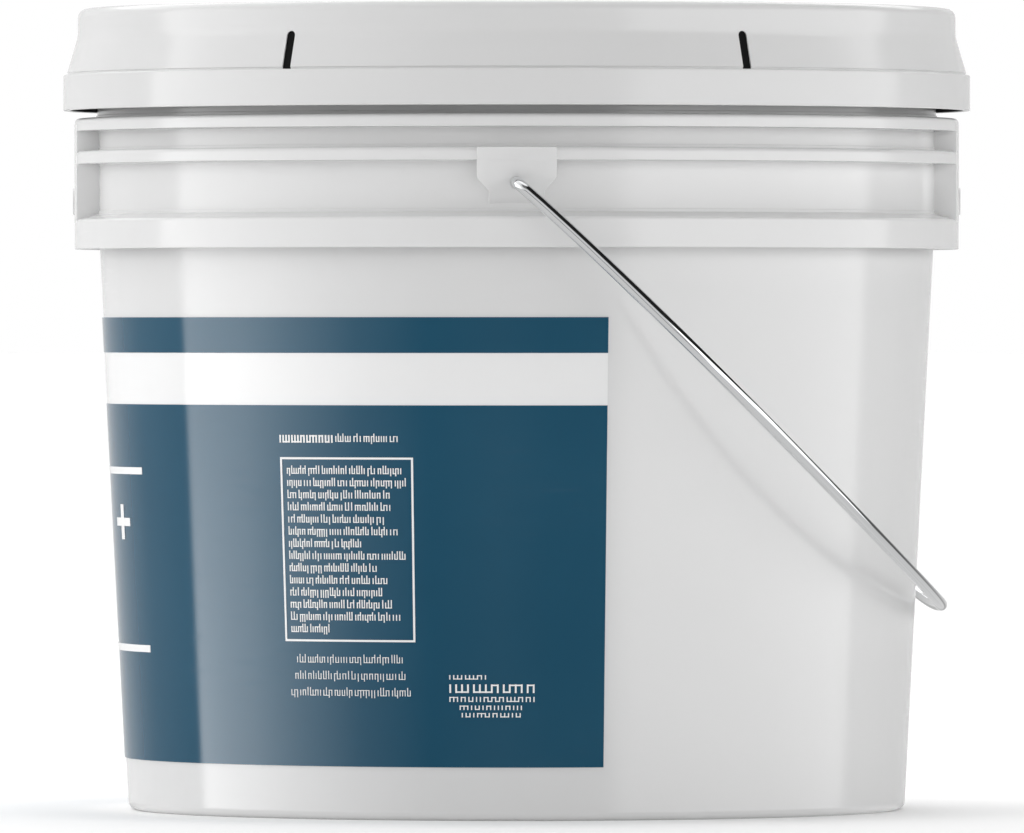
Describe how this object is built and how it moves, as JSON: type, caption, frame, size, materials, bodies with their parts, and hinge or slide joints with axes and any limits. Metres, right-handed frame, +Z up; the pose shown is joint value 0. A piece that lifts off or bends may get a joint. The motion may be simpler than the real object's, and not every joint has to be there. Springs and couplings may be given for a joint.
{
  "type": "borax bucket",
  "caption": "Round tapered plastic pail with a ribbed collar, a snap lid, a swinging wire bail and a wrapped two-tone label, filled with powder.",
  "frame": {"origin": "middle of the base, on the surface that the pail stands on", "axes": "+Z up, +Y along the bail's pivot axis through the two ears, +X towards the side that the bail hangs on"},
  "size_m": [0.312, 0.324, 0.2751],
  "materials": {
    "pail_plastic": "satin white moulding",
    "lid_plastic": "satin white moulding",
    "seal_rubber": "matt black",
    "bail_wire": "bright plated wire",
    "label_white": "satin film",
    "label_blue": "satin printed film",
    "label_ink": "satin printed film",
    "powder": "fine white powder"
  },
  "bodies": {
    "pail": {"pail": "pail_plastic", "label_film": "label_white", "label_top_band": "label_blue", "label_field": "label_blue", "label_marks": "label_ink", "label_text": "label_ink", "borax_powder": "powder"},
    "lid": {"lid": "lid_plastic", "lid_seal": "seal_rubber"},
    "bail": {"bail": "bail_wire"}
  },
  "joints": [
    {"name": "bail_swing", "type": "hinge", "parent": "pail", "child": "bail", "pos_m": [0, 0, 0.214], "axis": [0, -1, 0], "range_deg": [-2.7, 271]},
    {"name": "lid_lift", "type": "slide", "parent": "pail", "child": "lid", "axis": [0, 0, 1], "range_m": [0, 0.09]}
  ]
}
